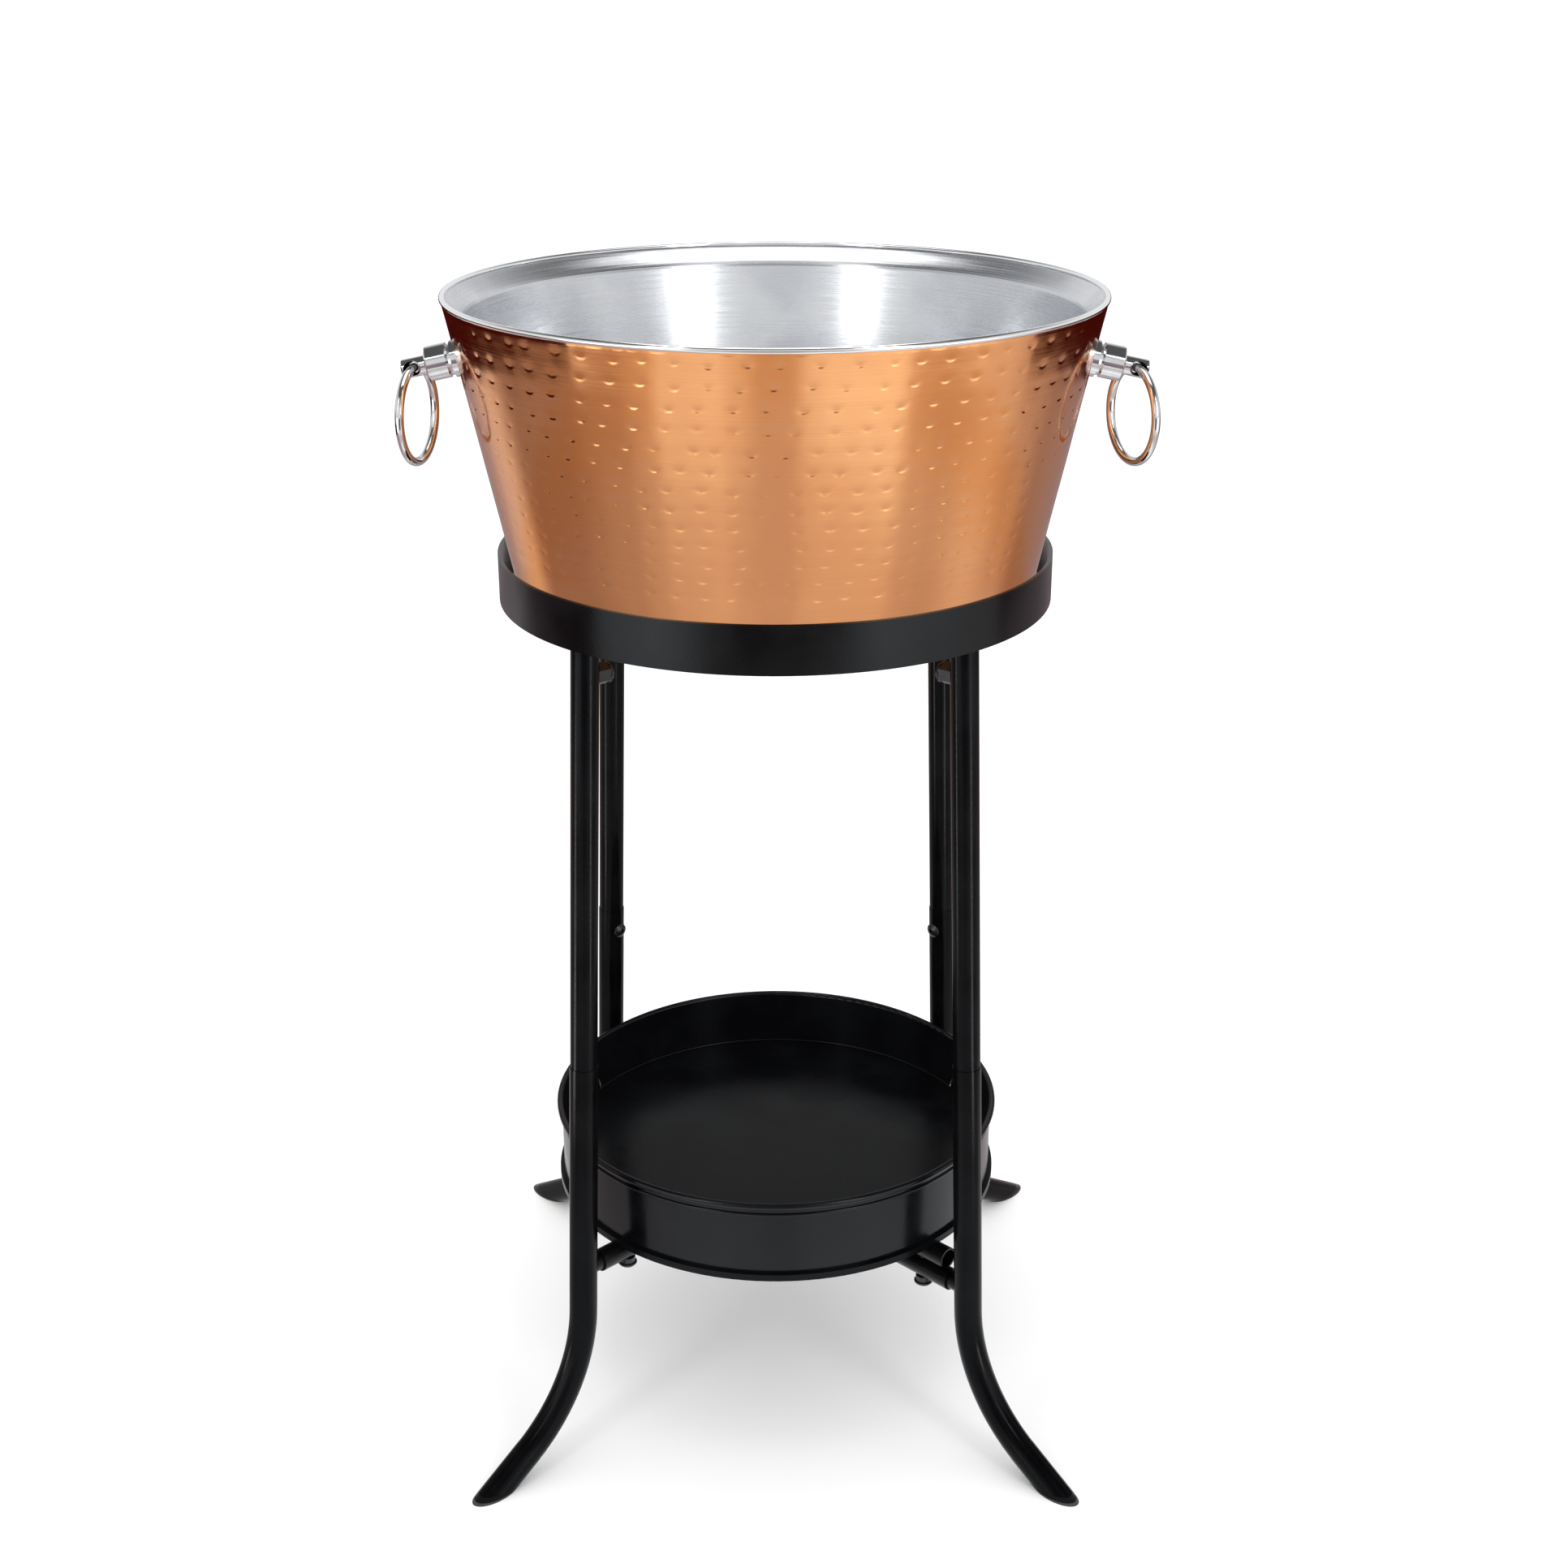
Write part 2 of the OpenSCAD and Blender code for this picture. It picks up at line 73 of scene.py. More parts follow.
class Shader:
    """A Principled material and short ways to add nodes to it."""

    def __init__(self, name, color, metallic, roughness, **settings):
        self.material = bpy.data.materials.new(name)
        self.material.use_nodes = True
        self.nodes = self.material.node_tree.nodes
        self.links = self.material.node_tree.links
        self.surface = self.nodes["Principled BSDF"]
        self.set("Base Color", (*color, 1))
        self.set("Metallic", metallic)
        self.set("Roughness", roughness)
        for socket, value in settings.items():
            self.set(socket.replace("_", " "), value)
        self.place = self.nodes.new("ShaderNodeTexCoord").outputs["Object"]
        self.material.diffuse_color = (*color, 1)

    def set(self, socket, value):
        self.surface.inputs[socket].default_value = value

    def link(self, output, socket):
        self.links.new(output, self.surface.inputs[socket])

    def stretched(self, scale, place=None):
        """Object coordinates in metres, or those of place, multiplied by scale."""
        node = self.nodes.new("ShaderNodeMapping")
        node.inputs["Scale"].default_value = scale
        self.links.new(place or self.place, node.inputs["Vector"])
        return node.outputs["Vector"]

    def axes(self):
        """The X, Y and Z of the object coordinates, by name."""
        split = self.nodes.new("ShaderNodeSeparateXYZ")
        self.links.new(self.place, split.inputs["Vector"])
        return split.outputs

    def turned(self, around, across):
        """Coordinates whose noise draws rings round Z, on upright walls and on level faces."""
        radius = self.nodes.new("ShaderNodeVectorMath")
        radius.operation = "LENGTH"
        self.links.new(self.stretched((1, 1, 0)), radius.inputs[0])
        axes = self.axes()
        join = self.nodes.new("ShaderNodeCombineXYZ")
        self.links.new(axes["X"], join.inputs["X"])
        self.links.new(axes["Y"], join.inputs["Y"])
        self.links.new(self.calculate("ADD", radius.outputs["Value"], axes["Z"]), join.inputs["Z"])
        return self.stretched((around, around, across), join.outputs["Vector"])

    def noise(self, scale, detail=2.0, place=None):
        node = self.nodes.new("ShaderNodeTexNoise")
        node.inputs["Scale"].default_value = scale
        node.inputs["Detail"].default_value = detail
        self.links.new(place or self.place, node.inputs["Vector"])
        return node.outputs["Fac"]

    def ramp(self, value, low, high, start=0.35, end=0.65):
        """A smooth step of value from low to high between start and end."""
        node = self.nodes.new("ShaderNodeMapRange")
        node.interpolation_type = "SMOOTHSTEP"
        node.inputs["From Min"].default_value = start
        node.inputs["From Max"].default_value = end
        node.inputs["To Min"].default_value = low
        node.inputs["To Max"].default_value = high
        self.links.new(value, node.inputs["Value"])
        return node.outputs["Result"]

    def mix(self, amount, first, second):
        """first and second are colours or sockets; amount is a socket."""
        node = self.nodes.new("ShaderNodeMix")
        node.data_type = "RGBA"
        self.links.new(amount, node.inputs["Factor"])
        for key, value in (("A", first), ("B", second)):
            socket = [s for s in node.inputs if s.name == key and s.type == "RGBA"][0]
            if isinstance(value, tuple):
                socket.default_value = (*value, 1)
            else:
                self.links.new(value, socket)
        return [s for s in node.outputs if s.type == "RGBA"][0]

    def calculate(self, operation, first, second):
        node = self.nodes.new("ShaderNodeMath")
        node.operation = operation
        self.links.new(first, node.inputs[0])
        self.links.new(second, node.inputs[1])
        return node.outputs["Value"]

    def bump(self, height, distance, strength=1.0, under=None):
        node = self.nodes.new("ShaderNodeBump")
        node.inputs["Strength"].default_value = strength
        node.inputs["Distance"].default_value = distance
        self.links.new(height, node.inputs["Height"])
        if under:
            self.links.new(under, node.inputs["Normal"])
        return node.outputs["Normal"]


def hammered_copper():
    """Lacquered copper finish: smooth, with faint level brush lines and slow tone changes."""
    shader = Shader("hammered_copper", (0.93, 0.44, 0.19), 1.0, 0.1)
    patches = shader.noise(14, 3)
    streaks = shader.noise(1, 5, shader.stretched((5, 5, 1100)))
    warm = shader.mix(shader.ramp(patches, 0, 1), (0.95, 0.46, 0.20), (0.91, 0.42, 0.18))
    toned = shader.mix(shader.ramp(streaks, 0, 0.2), warm, (0.82, 0.37, 0.15))
    shader.link(toned, "Base Color")
    rough = shader.calculate("ADD", shader.ramp(streaks, 0.08, 0.12),
                             shader.ramp(patches, 0, 0.02))
    shader.link(rough, "Roughness")
    brushed = shader.bump(streaks, 0.00003, 0.15)
    shader.link(shader.bump(shader.noise(160, 2), 0.0003, 0.03, brushed), "Normal")
    return shader.material


def brushed_stainless(bead_bottom):
    """Brushed round the tub's axis, and polished from bead_bottom up."""
    shader = Shader("brushed_stainless", (0.66, 0.67, 0.69), 1.0, 0.26)
    lines = shader.noise(1, 4, shader.turned(9, 1200))
    clouds = shader.noise(18, 3)
    bead = shader.ramp(shader.axes()["Z"], 0, 1, bead_bottom, bead_bottom + 0.0004)
    sheet = shader.mix(shader.ramp(clouds, 0, 1), (0.72, 0.73, 0.75), (0.62, 0.63, 0.66))
    shader.link(shader.mix(bead, sheet, (0.90, 0.90, 0.90)), "Base Color")
    rough = shader.calculate("ADD", shader.ramp(lines, 0.16, 0.28), shader.ramp(clouds, 0, 0.06))
    polish = shader.ramp(bead, 1, 0.4, 0, 1)
    shader.link(shader.calculate("MULTIPLY", rough, polish), "Roughness")
    shader.link(shader.bump(lines, 0.00003, 0.4), "Normal")
    return shader.material


def polished_chrome():
    shader = Shader("polished_chrome", (0.80, 0.80, 0.81), 1.0, 0.08)
    smudges = shader.noise(70, 4)
    fine = shader.noise(900, 2)
    shader.link(shader.mix(shader.ramp(smudges, 0, 1), (0.76, 0.76, 0.77), (0.66, 0.66, 0.68)),
                "Base Color")
    shader.link(shader.ramp(smudges, 0.05, 0.13), "Roughness")
    shader.link(shader.bump(fine, 0.00004, 0.25), "Normal")
    return shader.material


COOL_GLOSS = (0.94, 0.97, 1.0, 1.0)


def powder_coat(name, color, level, smooth, rough, peel):
    """Black powder coat: fine orange peel, faint cloudy gloss, a few pale specks of dust."""
    shader = Shader(name, color, 0.0, (smooth + rough) / 2, Specular_IOR_Level=level,
                    Specular_Tint=COOL_GLOSS)
    peel_height = shader.noise(650, 2)
    clouds = shader.noise(22, 3)
    specks = shader.noise(1500, 1)
    lifted = tuple(c * 1.5 + 0.001 for c in color)
    cloudy = shader.mix(shader.ramp(clouds, 0, 1), color, lifted)
    dusty = shader.mix(shader.ramp(specks, 0, 0.5, 0.70, 0.78), cloudy, (0.02, 0.02, 0.021))
    shader.link(dusty, "Base Color")
    shader.link(shader.ramp(clouds, smooth, rough), "Roughness")
    shader.link(shader.bump(peel_height, 0.0004, peel), "Normal")
    return shader.material


def moulded_plastic():
    shader = Shader("moulded_plastic", (0.02, 0.02, 0.02), 0.0, 0.55)
    grain = shader.noise(1800, 3)
    shader.link(shader.ramp(grain, 0.5, 0.65), "Roughness")
    shader.link(shader.bump(grain, 0.0002, 0.3), "Normal")
    return shader.material


def turned_steel():
    shader = Shader("turned_steel", (0.5, 0.5, 0.52), 1.0, 0.35)
    lines = shader.noise(1, 3, shader.stretched((60, 60, 1600)))
    shader.link(shader.ramp(lines, 0.25, 0.45), "Roughness")
    shader.link(shader.bump(lines, 0.0001, 0.4), "Normal")
    return shader.material


COPPER = hammered_copper()
RIM_BEAD_HEIGHT = 3.5 * MM
STAINLESS = brushed_stainless(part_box("tub_liner")[1].z - RIM_BEAD_HEIGHT)
CHROME = polished_chrome()
BLACK = powder_coat("black_powder_coat", (0.0012, 0.0012, 0.0015),
                    level=0.24, smooth=0.20, rough=0.28, peel=0.12)
# Painted shade: the legs get a copy of the black coat with weaker reflections, for their darker
# look in the studio.
LEG_PAINTED_SHADE_BLACK = powder_coat("black_leg_coat_painted_shade", (0.0012, 0.0012, 0.0015),
                        level=0.09, smooth=0.18, rough=0.24, peel=0.12)
TRAY_BLACK = powder_coat("black_tray_coat", (0.0015, 0.0017, 0.0024),
                         level=0.28, smooth=0.16, rough=0.24, peel=0.08)
# Painted shade: the tray floor gets a copy of the tray coat with weaker reflections, for the shade
# under the tub.
TRAY_FLOOR_PAINTED_SHADE_BLACK = powder_coat("black_tray_floor_coat_painted_shade", (0.0015, 0.0017, 0.0022),
                               level=0.13, smooth=0.22, rough=0.30, peel=0.08)
FASTENER = powder_coat("black_fastener", (0.004, 0.004, 0.0045),
                       level=0.6, smooth=0.20, rough=0.34, peel=0.08)
PLASTIC = moulded_plastic()
TURNED = turned_steel()

SLOT_MATERIALS = {
    "black_powder_coat": BLACK,
    "black_tray_enamel": TRAY_BLACK,
    "black_fastener": FASTENER,
    "plain_steel": TURNED,
    "black_plastic": PLASTIC,
    "hammered_copper": COPPER,
    "stainless_liner": STAINLESS,
    "handle_chrome": CHROME,
}


def is_leg(node_name):
    return node_name.endswith("_leg")


def dress_cad_nodes():
    """Gives every CAD node the material of its slot; legs and tray floor get dimmer copies of
    their coat, as painted shade.
    """
    for row in frame["record"]["subparts"]:
        node = frame["nodes"][row["node"]]
        material = SLOT_MATERIALS[row["material_slot"]]
        # Painted shade: legs and tray floor take the dimmer copies of their coat.
        if is_leg(row["node"]):
            material = LEG_PAINTED_SHADE_BLACK
        elif row["node"] == "tray_floor":
            material = TRAY_FLOOR_PAINTED_SHADE_BLACK
        node.data.materials.clear()
        node.data.materials.append(material)
    # The copper would mirror the band's inner face as a black line all round the tub's foot
    frame["nodes"]["ring_band"].visible_glossy = False


# ---------------------------------------------------------------- mesh helpers


def mesh_piece(name, verts, faces, material):
    mesh = bpy.data.meshes.new(name)
    mesh.from_pydata(verts, [], faces)
    mesh.validate()
    mesh.polygons.foreach_set("use_smooth", [True] * len(mesh.polygons))
    mesh.materials.append(material)
    piece = bpy.data.objects.new(name, mesh)
    bpy.context.scene.collection.objects.link(piece)
    return piece


def ring_faces(low, high, count):
    """Quads between two rings of count points that start at indices low and high."""
    return [(low + i, low + (i + 1) % count, high + (i + 1) % count, high + i)
            for i in range(count)]


def step_faces(coarse, fine, count, ratio):
    """Faces between a ring of count points and one with ratio times as many."""
    faces = []
    for i in range(count):
        nearer = coarse + i
        farther = coarse + (i + 1) % count
        points = [fine + (i * ratio + k) % (count * ratio) for k in range(ratio + 1)]
        faces += [(nearer, points[k + 1], points[k]) for k in range(ratio // 2)]
        faces += [(farther, points[k + 1], points[k]) for k in range(ratio // 2, ratio)]
        faces.append((nearer, farther, points[ratio // 2]))
    return faces


def arc(center, radius, start, end, steps):
    """Points on a circle in a lathe outline, from angle start to end in degrees."""
    return [(center[0] + radius * math.cos(math.radians(start + (end - start) * i / steps)),
             center[1] + radius * math.sin(math.radians(start + (end - start) * i / steps)))
            for i in range(steps + 1)]


# ---------------------------------------------------------------- tub

TAPER = math.radians(12.2)
SHELL_THICKNESS = 1.2 * MM
CORNER_RADIUS = 18 * MM
shell_low, shell_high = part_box("tub_outer_shell")
RIM_RADIUS = shell_high.x


def wall_radius(height, inset=0.0):
    """Radius of the tub's outer wall at a height, moved inward by inset."""
    return (RIM_RADIUS - (shell_high.z - height) * math.tan(TAPER)
            - inset / math.cos(TAPER))


DENTS_PER_ROW = 66
DENT_ROWS = 13
FIRST_LIP_DROP = 10.5 * MM
TOP_PITCH = 13.9 * MM
PITCH_LOSS = 0.27 * MM
LIP_DEPTH = (0.13 * MM, 0.22 * MM)
LIP_BEND = 3.8 * MM
LIP_EDGE = 0.6 * MM
MARK_HALF_WIDTH = 3.0 * MM
MARK_HEIGHT = 5.5 * MM
HALO_DEPTH = 0.05 * MM
HALO_RADIUS = 9.5 * MM
SWELL_DEPTH = 0.10 * MM
SWELLS_PER_METRE = 26
# Chance: how far each mark strays, and how each row is turned from the row below, in cells
SEED = 7
SIDE_SCATTER = 1.6 * MM
RISE_SCATTER = 0.6 * MM
ROW_DRIFT, ROW_SCATTER = 0.1, 0.28
# The fine grid over one dent: columns in cell widths, levels in parts of the way to its borders
COLUMNS = (-0.5, -0.28, -0.175, -0.115, -0.057, 0.0, 0.057, 0.115, 0.175, 0.28)
LEVELS = (-1.0, -0.55, -0.27, -0.15, -0.05, 0.04, 0.13, 0.25, 0.42, 0.66)
FINE_COUNT = DENTS_PER_ROW * len(COLUMNS)
FINE_RATIO = 4
SHARP_ANGLE = math.radians(35)
CORNER_STEPS = 10
BASE_RING = 0.5


def smooth_step(low, high, value):
    part = min(1.0, max(0.0, (value - low) / (high - low)))
    return part * part * (3 - 2 * part)


def dent_rows():
    """Heights of the rows' lower lips, from the bottom up, and of the borders round them."""
    lips = []
    height = shell_high.z - FIRST_LIP_DROP
    for row in range(DENT_ROWS):
        lips.append(height)
        height -= TOP_PITCH - PITCH_LOSS * row
    lips.reverse()
    middles = [(low + high) / 2 for low, high in zip(lips, lips[1:])]
    return lips, [2 * lips[0] - middles[0]] + middles + [2 * lips[-1] - middles[-1]]


def mark_depth(across, rise, depth):
    """Depth of one hammer mark: shallow above, with a short steep lip along its lower edge."""
    over = rise - across * across / (2 * LIP_BEND)
    body = max(0.0, 1 - max(0.0, over) / MARK_HEIGHT) ** 2
    lip = smooth_step(-LIP_EDGE, LIP_EDGE, over)
    halo = max(0.0, 1 - (math.hypot(across, rise * 1.3) / HALO_RADIUS) ** 2) ** 2
    return (depth * math.exp(-(across / MARK_HALF_WIDTH) ** 2) * body * lip
            + HALO_DEPTH * halo)


def hammered_rings():
    """Rings of (angle, height, inset) over the dented wall, from the bottom up."""
    dice = random.Random(SEED)
    cell = math.tau / DENTS_PER_ROW
    lips, borders = dent_rows()
    turns = [0.0]
    for _ in lips[1:]:
        turns.append(turns[-1] + dice.gauss(ROW_DRIFT, ROW_SCATTER))
    rings = []
    for row, lip in enumerate(lips):
        marks = [(dice.gauss(0, SIDE_SCATTER), dice.gauss(0, RISE_SCATTER),
                  dice.uniform(*LIP_DEPTH)) for _ in range(DENTS_PER_ROW)]
        top_row = row == len(lips) - 1
        for level in LEVELS + ((1.0,) if top_row else ()):
            rise = level * (lip - borders[row] if level < 0 else borders[row + 1] - lip)
            turn = (turns[row] + turns[max(0, row - 1)]) / 2 if level == -1 else turns[row]
            radius = wall_radius(lip + rise)
            low_fade = smooth_step(borders[0], borders[1], lip + rise)
            fade = low_fade * smooth_step(borders[-1], borders[-2], lip + rise)
            ring = []
            for i, (side, up, depth) in enumerate(marks):
                for column in COLUMNS:
                    held = (1 - level * level) * (1 - 4 * column * column)
                    angle = (turn + i + column) * cell + side * held / radius
                    height = lip + rise + up * held
                    inset = mark_depth(column * cell * radius - side * (1 - held),
                                       rise - up * (1 - held), depth)
                    spot = Vector((radius * math.cos(angle), radius * math.sin(angle), height))
                    inset += SWELL_DEPTH * (1 + noise.noise(spot * SWELLS_PER_METRE)) * fade
                    ring.append((angle, height, inset))
            rings.append(ring)
    return rings


def hammered_shell():
    """The copper outer wall: fine and dented where it shows, coarser on its base and inside."""
    coarse = FINE_COUNT // FINE_RATIO
    top = shell_high.z
    corner = (wall_radius(shell_low.z + CORNER_RADIUS, CORNER_RADIUS),
              shell_low.z + CORNER_RADIUS)
    taper = math.degrees(TAPER)
    rings = hammered_rings()
    verts, faces, starts = [(0, 0, shell_low.z)], [], []

    def ring(radius, height, angles):
        starts.append(len(verts))
        verts.extend((radius * math.cos(a), radius * math.sin(a), height) for a in angles)

    angles = [point[0] for point in rings[0][::FINE_RATIO]]
    outer = arc(corner, CORNER_RADIUS, -90, -taper, CORNER_STEPS)
    for radius, height in [(corner[0] * BASE_RING, shell_low.z)] + outer:
        ring(radius, height, angles)
    faces += [(0, starts[0] + (i + 1) % coarse, starts[0] + i) for i in range(coarse)]
    for low, high in zip(starts, starts[1:]):
        faces += ring_faces(low, high, coarse)
    last_coarse = starts[-1]
    for number, points in enumerate(rings):
        starts.append(len(verts))
        for angle, height, inset in points:
            radius = wall_radius(height) - inset
            verts.append((radius * math.cos(angle), radius * math.sin(angle), height))
        if number:
            faces += ring_faces(starts[-2], starts[-1], FINE_COUNT)
        else:
            faces += [tuple(reversed(face)) for face in
                      step_faces(last_coarse, starts[-1], coarse, FINE_RATIO)]
    last_fine = starts[-1]
    angles = [point[0] for point in rings[-1][::FINE_RATIO]]
    collar = (rings[-1][0][1] + top) / 2
    ring(wall_radius(collar), collar, angles)
    faces += step_faces(starts[-1], last_fine, coarse, FINE_RATIO)
    inner = [(wall_radius(top), top), (wall_radius(top, SHELL_THICKNESS), top)]
    inner += reversed(arc(corner, CORNER_RADIUS - SHELL_THICKNESS, -90, -taper, CORNER_STEPS))
    inner.append((corner[0] * BASE_RING, shell_low.z + SHELL_THICKNESS))
    for radius, height in inner:
        ring(radius, height, angles)
        faces += ring_faces(starts[-2], starts[-1], coarse)
    pole = len(verts)
    verts.append((0, 0, shell_low.z + SHELL_THICKNESS))
    faces += [(starts[-1] + i, starts[-1] + (i + 1) % coarse, pole) for i in range(coarse)]
    shell = mesh_piece("tub_shell_hammered", verts, faces, COPPER)
    shell.data.set_sharp_from_angle(angle=SHARP_ANGLE)
    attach(shell, "tub")
    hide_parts("tub_outer_shell")


# ---------------------------------------------------------------- tray

TRAY_RIM_BEAD = 2.4 * MM
CORNER_BEAD = 0.8 * MM
CORNER_BEAD_SUNK = 0.35 * MM
CORNER_BEAD_COUNT, CORNER_BEAD_SIDES = 240, 12


def tray_corner_bead():
    """The thin bead of coat and seam that runs round the tray where its floor meets its wall."""
    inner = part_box("tray_wall")[1].x - 2 * TRAY_RIM_BEAD
    center = (inner - CORNER_BEAD_SUNK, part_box("tray_floor")[1].z + CORNER_BEAD_SUNK)
    count, sides = CORNER_BEAD_COUNT, CORNER_BEAD_SIDES
    verts, faces = [], []
    for radius, height in arc(center, CORNER_BEAD, 0, 360 * (sides - 1) / sides, sides - 1):
        for i in range(count):
            angle = math.tau * i / count
            verts.append((radius * math.cos(angle), radius * math.sin(angle), height))
    for k in range(sides):
        faces += ring_faces(k * count, (k + 1) % sides * count, count)
    bead = mesh_piece("tray_corner_bead", verts, faces, TRAY_BLACK)
    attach(bead, "stand")


# ---------------------------------------------------------------- stage and light

FLOOR_HALF = 60.0
FLOOR_COLOR = (0.94, 0.94, 0.94)
CARD_LIFT = 0.004
# Brightness of the studio round the stand, by bearing in degrees from the front:
# near the stand on the floor, far out on the floor, and on the screen above it
STUDIO = [(-180, 0.45, 0.45, 0.40), (-150, 0.40, 0.35, 0.35), (-122, 0.58, 0.70, 0.70),
          (-106, 0.38, 0.32, 0.32), (-88, 0.34, 0.34, 0.40), (-58, 0.46, 0.46, 1.80),
          (-47, 0.56, 0.62, 2.40), (-38, 0.66, 0.94, 2.00), (-20, 0.72, 1.05, 0.35),
          (-13, 0.66, 0.88, 0.20), (-4, 0.63, 0.67, 0.15), (5, 0.63, 0.67, 0.15),
          (13, 0.72, 0.98, 0.20), (20, 0.75, 1.08, 0.35), (42, 0.76, 1.10, 2.20),
          (52, 0.64, 0.68, 1.80), (62, 0.60, 0.62, 1.50), (84, 0.74, 0.74, 0.80),
          (104, 0.62, 0.57, 0.50), (120, 0.46, 0.36, 0.36), (150, 0.38, 0.32, 0.32),
          (180, 0.45, 0.45, 0.40)]
NEAR, FAR, ABOVE = 1, 2, 3
SCREEN_RADIUS = 1.45
CARD_COUNT = 180
CARD_FLOOR = (0.05, 0.3, 0.45, 0.6, 0.75, 0.85, 1.0, 1.1, 1.2, 1.3, 1.4, SCREEN_RADIUS)
CARD_SCREEN = (0.05, 0.09, 0.12, 0.15, 0.18, 0.4, 0.75)
# Where the floor's brightness goes from near to far, and the screen's from far to above
FAR_RADII = (1.0, 1.4)
ABOVE_HEIGHTS = (0.05, 0.18)
# The extra light on the floor close to the feet, and where it ends
GLOW, GLOW_RADII = 0.6, (0.4, 0.8)
# The amber edge of the floor: it fades in over radii, out over brightness and out over heights
AMBER_RADII, AMBER_SHADES, AMBER_HEIGHTS = (1.2, 1.38), (0.7, 1.0), (0.03, 0.10)
# Two long soft lights that shine only on the legs and fasteners, for the thin lines of light
STRIP_BEARINGS = (-68, 45)
STRIP_START, STRIP_END = (0.75, 0.005), (1.9, 0.36)
STRIP_WIDTH = 0.14
STRIP_POWER = 5.0
TUB_MIDDLE = (0, 0, 0.7)
# Name, place, target, width, height and power
SOFTBOXES = [("left_softbox", (-1.2, -1.6, 1.6), TUB_MIDDLE, 0.4, 1.4, 6),
             ("right_softbox", (1.2, -1.6, 1.6), TUB_MIDDLE, 0.5, 1.4, 8),
             ("top_softbox", (0, 0.2, 2.6), (0, 0, 0), 1.6, 1.6, 14)]
# The dark red screens whose reflections lie under the rim at both sides
DARK_RADIUS = 1.42
DARK_START, DARK_START_RIGHT, DARK_END, DARK_STEP = 72, 96, 165, 3
DARK_FOOT = 0.10
DARK_RISE = 0.0041  # of the foot, per degree
DARK_HEIGHT = 0.35
DARK_COLOR = (0.045, 0.003, 0.002)


def studio(bearing, column):
    """One column of the STUDIO table at a bearing."""
    for low, high in zip(STUDIO, STUDIO[1:]):
        if low[0] <= bearing <= high[0]:
            part = smooth_step(low[0], high[0], bearing)
            return low[column] + (high[column] - low[column]) * part
    return STUDIO[-1][column]


def studio_shade(radius, height, bearing):
    """Brightness of the reflected studio at a place on its floor or on the screen round it."""
    near, far, above = (studio(bearing, column) for column in (NEAR, FAR, ABOVE))
    floor = near + (far - near) * smooth_step(*FAR_RADII, radius)
    floor *= 1 + GLOW * (1 - smooth_step(*GLOW_RADII, radius))
    return floor + (above - floor) * smooth_step(*ABOVE_HEIGHTS, height)


def add_floor():
    mesh = bpy.data.meshes.new("floor")
    half = FLOOR_HALF
    mesh.from_pydata([(-half, -half, 0), (half, -half, 0), (half, half, 0), (-half, half, 0)],
                     [], [(0, 1, 2, 3)])
    shader = Shader("pale_floor", FLOOR_COLOR, 0.0, 0.8, Specular_IOR_Level=0.0)
    shader.link(shader.mix(shader.noise(3, 2), FLOOR_COLOR, (0.95, 0.95, 0.95)), "Base Color")
    mesh.materials.append(shader.material)
    floor = bpy.data.objects.new("floor", mesh)
    bpy.context.scene.collection.objects.link(floor)


def amber(radius, height, shade):
    """How amber the studio is at a place, from 0 to 1."""
    return (smooth_step(*AMBER_RADII, radius) * (1 - smooth_step(*AMBER_SHADES, shade))
            * (1 - smooth_step(*AMBER_HEIGHTS, height)))


def tinted(shade, warmth):
    """A grey that turns a little warm where it is dark, and amber by warmth from 0 to 1."""
    green = min(1.03, 0.70 + 0.33 * shade) * (1 - 0.14 * warmth)
    blue = min(1.03, 0.76 + 0.27 * shade) * (1 - 0.36 * warmth)
    return (shade, shade * green, shade * blue)


def add_card(name, verts, faces, colors):
    """A screen that only reflections see, with one colour per vertex."""
    mesh = bpy.data.meshes.new(name)
    mesh.from_pydata(verts, [], faces)
    attribute = mesh.color_attributes.new(name="shade", type="FLOAT_COLOR", domain="POINT")
    for i, color in enumerate(colors):
        attribute.data[i].color = (*color, 1)
    material = bpy.data.materials.new(name)
    material.use_nodes = True
    nodes = material.node_tree.nodes
    nodes.clear()
    source = nodes.new("ShaderNodeAttribute")
    source.attribute_name = "shade"
    emission = nodes.new("ShaderNodeEmission")
    output = nodes.new("ShaderNodeOutputMaterial")
    material.node_tree.links.new(source.outputs["Color"], emission.inputs["Color"])
    material.node_tree.links.new(emission.outputs["Emission"], output.inputs["Surface"])
    mesh.materials.append(material)
    card = bpy.data.objects.new(name, mesh)
    bpy.context.scene.collection.objects.link(card)
    card.visible_camera = False
    card.visible_diffuse = False
    card.visible_shadow = False
    card.visible_transmission = False


def facing(bearing, radius, height):
    """A place at a bearing in degrees from the front, at a radius and a height."""
    turn = math.radians(bearing - 90)
    return (radius * math.cos(turn), radius * math.sin(turn), height)


def add_studio_card():
    """The floor round the stand and a low screen at its edge, as the metal reflects them."""
    places = [(radius, CARD_LIFT) for radius in CARD_FLOOR]
    places += [(SCREEN_RADIUS, height) for height in CARD_SCREEN]
    verts, colors, faces = [], [], []
    for radius, height in places:
        for i in range(CARD_COUNT):
            bearing = -180 + 360 * i / CARD_COUNT
            shade = studio_shade(radius, height, bearing)
            verts.append(facing(bearing, radius, height))
            colors.append(tinted(shade, amber(radius, height, shade)))
    for k in range(len(places) - 1):
        faces += ring_faces(k * CARD_COUNT, (k + 1) * CARD_COUNT, CARD_COUNT)
    add_card("studio_card", verts, faces, colors)


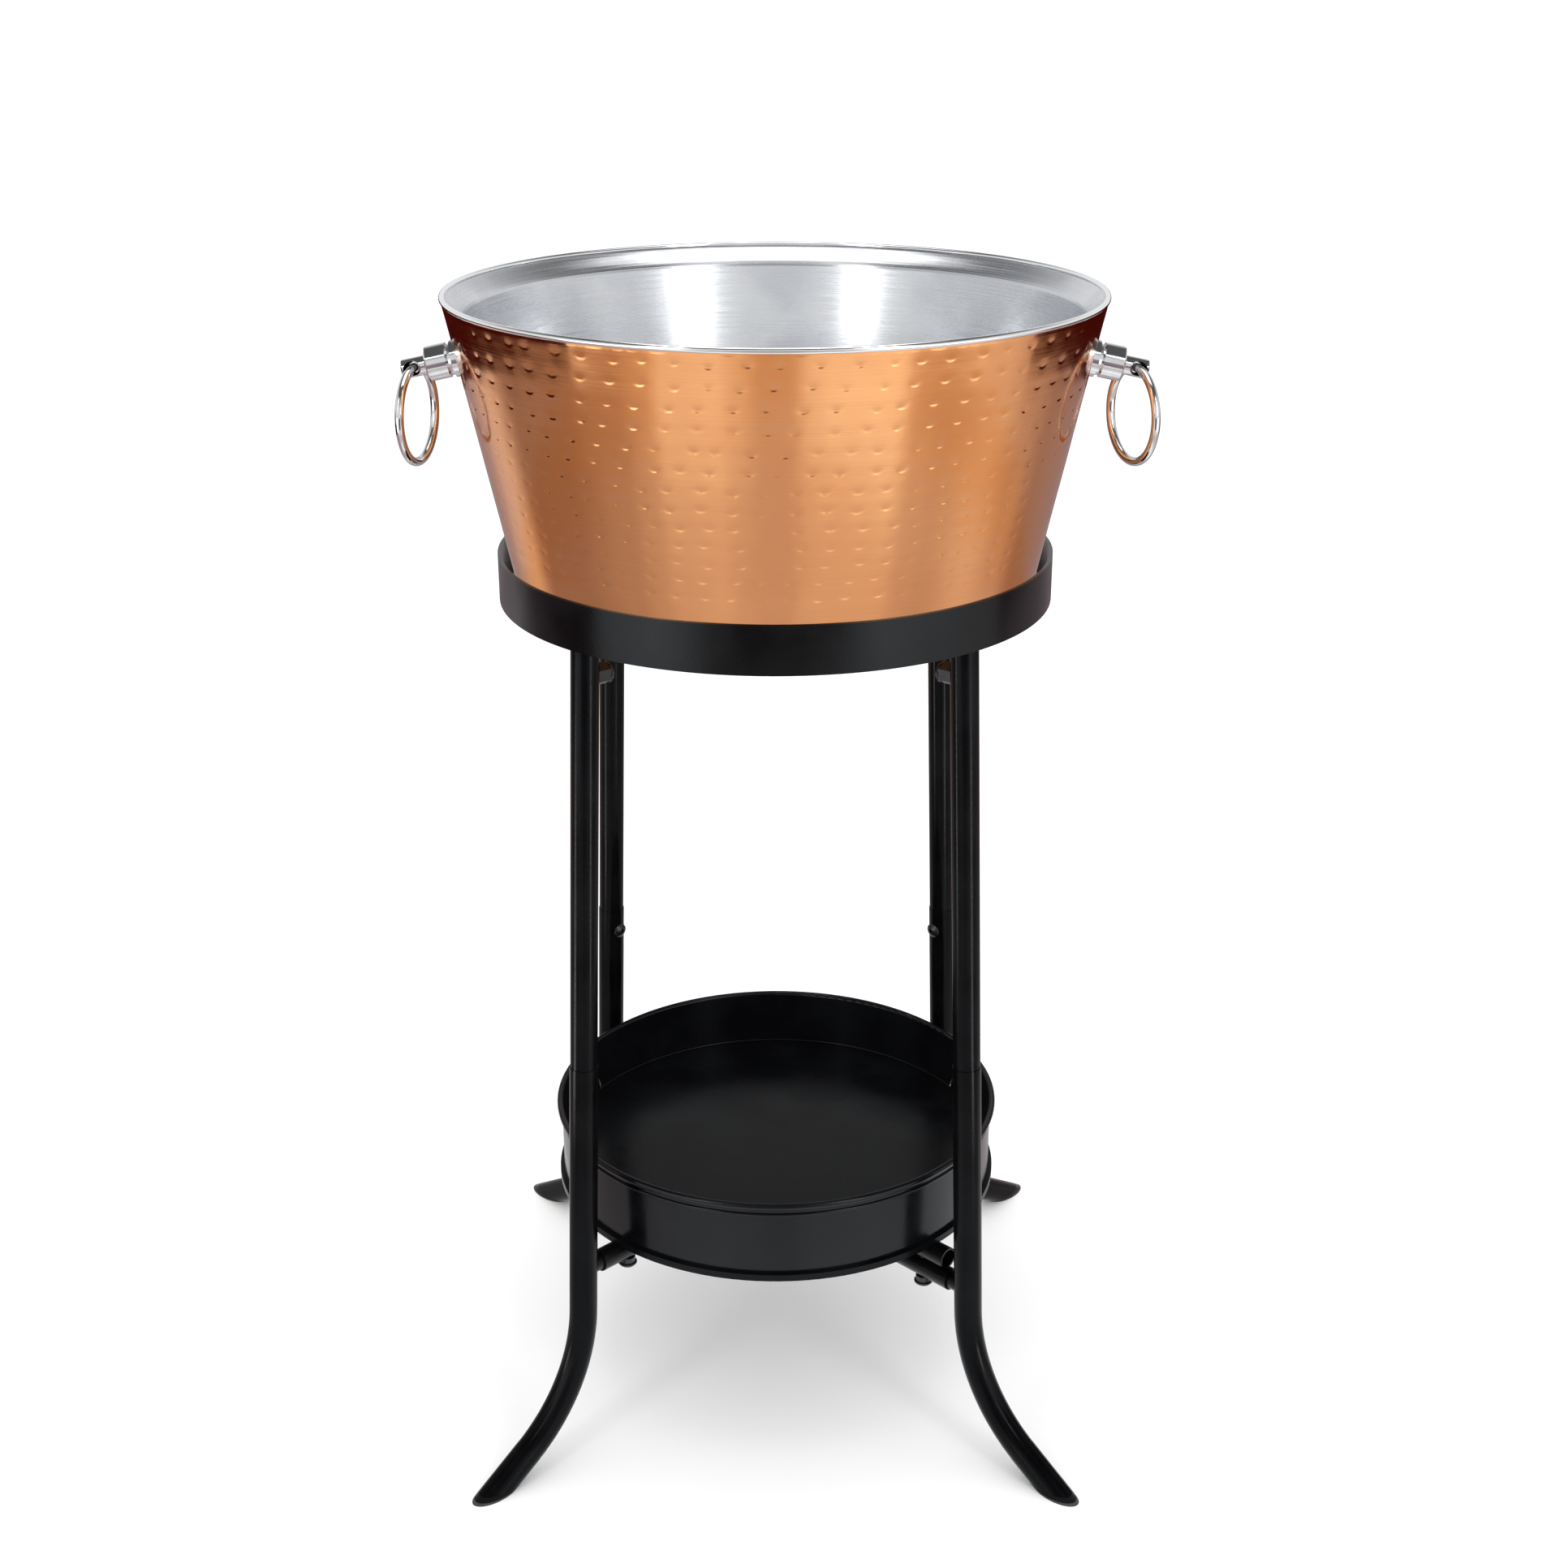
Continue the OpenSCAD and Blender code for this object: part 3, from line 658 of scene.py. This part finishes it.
def add_dark_cards():
    """Two dark red screens that rise towards the back, one at each side."""
    for side, start in ((-1, DARK_START), (1, DARK_START_RIGHT)):
        verts, faces = [], []
        for bearing in range(start, DARK_END + 1, DARK_STEP):
            foot = DARK_FOOT + (bearing - DARK_START) * DARK_RISE
            verts.append(facing(side * bearing, DARK_RADIUS, foot))
            verts.append(facing(side * bearing, DARK_RADIUS, foot + DARK_HEIGHT))
            k = len(verts)
            if k > 2:
                faces.append((k - 4, k - 2, k - 1, k - 3))
        add_card("dark_card", verts, faces, [DARK_COLOR] * len(verts))


def aimed(place, target):
    """The turn that makes a light at a place face its target."""
    return (Vector(target) - Vector(place)).to_track_quat("-Z", "Y").to_euler()


def add_panel(name, place, turn, width, height, power):
    """A soft rectangular light, unseen by the camera."""
    data = bpy.data.lights.new(name, "AREA")
    data.shape = "RECTANGLE"
    data.size = width
    data.size_y = height
    data.energy = power
    light = bpy.data.objects.new(name, data)
    bpy.context.scene.collection.objects.link(light)
    light.location = place
    light.rotation_euler = turn
    light.visible_camera = False
    return light


def add_leg_strips():
    """The strips lie tilted on the floor, so that a whole leg mirrors them from top to foot."""
    lit = bpy.data.collections.new("strip_lit")
    for row in frame["record"]["subparts"]:
        if is_leg(row["node"]) or row["material_slot"] == "black_fastener":
            lit.objects.link(frame["nodes"][row["node"]])
    run, rise = (end - start for start, end in zip(STRIP_START, STRIP_END))
    radius, height = ((end + start) / 2 for start, end in zip(STRIP_START, STRIP_END))
    for bearing in STRIP_BEARINGS:
        along = Vector(facing(bearing, run, rise)).normalized()
        down = Vector(facing(bearing, rise, -run)).normalized()
        turn = Matrix((along.cross(down), along, down)).transposed().to_euler()
        strip = add_panel("leg_strip", facing(bearing, radius, height), turn, STRIP_WIDTH,
                          math.hypot(run, rise), STRIP_POWER)
        strip.light_linking.receiver_collection = lit


def add_world():
    """White to the camera and to diffuse bounces, a dimmer gradient in reflections."""
    world = bpy.data.worlds.new("studio")
    world.use_nodes = True
    nodes = world.node_tree.nodes
    links = world.node_tree.links
    path = nodes.new("ShaderNodeLightPath")
    place = nodes.new("ShaderNodeTexCoord")
    split = nodes.new("ShaderNodeSeparateXYZ")
    links.new(place.outputs["Generated"], split.inputs["Vector"])
    slope = nodes.new("ShaderNodeMapRange")
    slope.interpolation_type = "SMOOTHSTEP"
    slope.inputs["From Min"].default_value = 0.3
    slope.inputs["From Max"].default_value = 0.8
    slope.inputs["To Min"].default_value = 0.85
    slope.inputs["To Max"].default_value = 0.10
    links.new(split.outputs["Z"], slope.inputs["Value"])
    white = nodes["Background"]
    white.inputs["Color"].default_value = (1, 1, 1, 1)
    white.inputs["Strength"].default_value = 1.2
    gray = nodes.new("ShaderNodeBackground")
    gray.inputs["Color"].default_value = (0.98, 0.99, 1, 1)
    links.new(slope.outputs["Result"], gray.inputs["Strength"])
    mix = nodes.new("ShaderNodeMixShader")
    links.new(path.outputs["Is Glossy Ray"], mix.inputs["Fac"])
    links.new(white.outputs["Background"], mix.inputs[1])
    links.new(gray.outputs["Background"], mix.inputs[2])
    links.new(mix.outputs["Shader"], nodes["World Output"].inputs["Surface"])
    bpy.context.scene.world = world


def light_scene():
    add_world()
    add_studio_card()
    add_dark_cards()
    add_leg_strips()
    for name, place, target, width, height, power in SOFTBOXES:
        add_panel(name, place, aimed(place, target), width, height, power)
    bpy.context.scene.view_settings.view_transform = "Standard"


add_camera()
dress_cad_nodes()
hammered_shell()
tray_corner_bead()
add_floor()
light_scene()
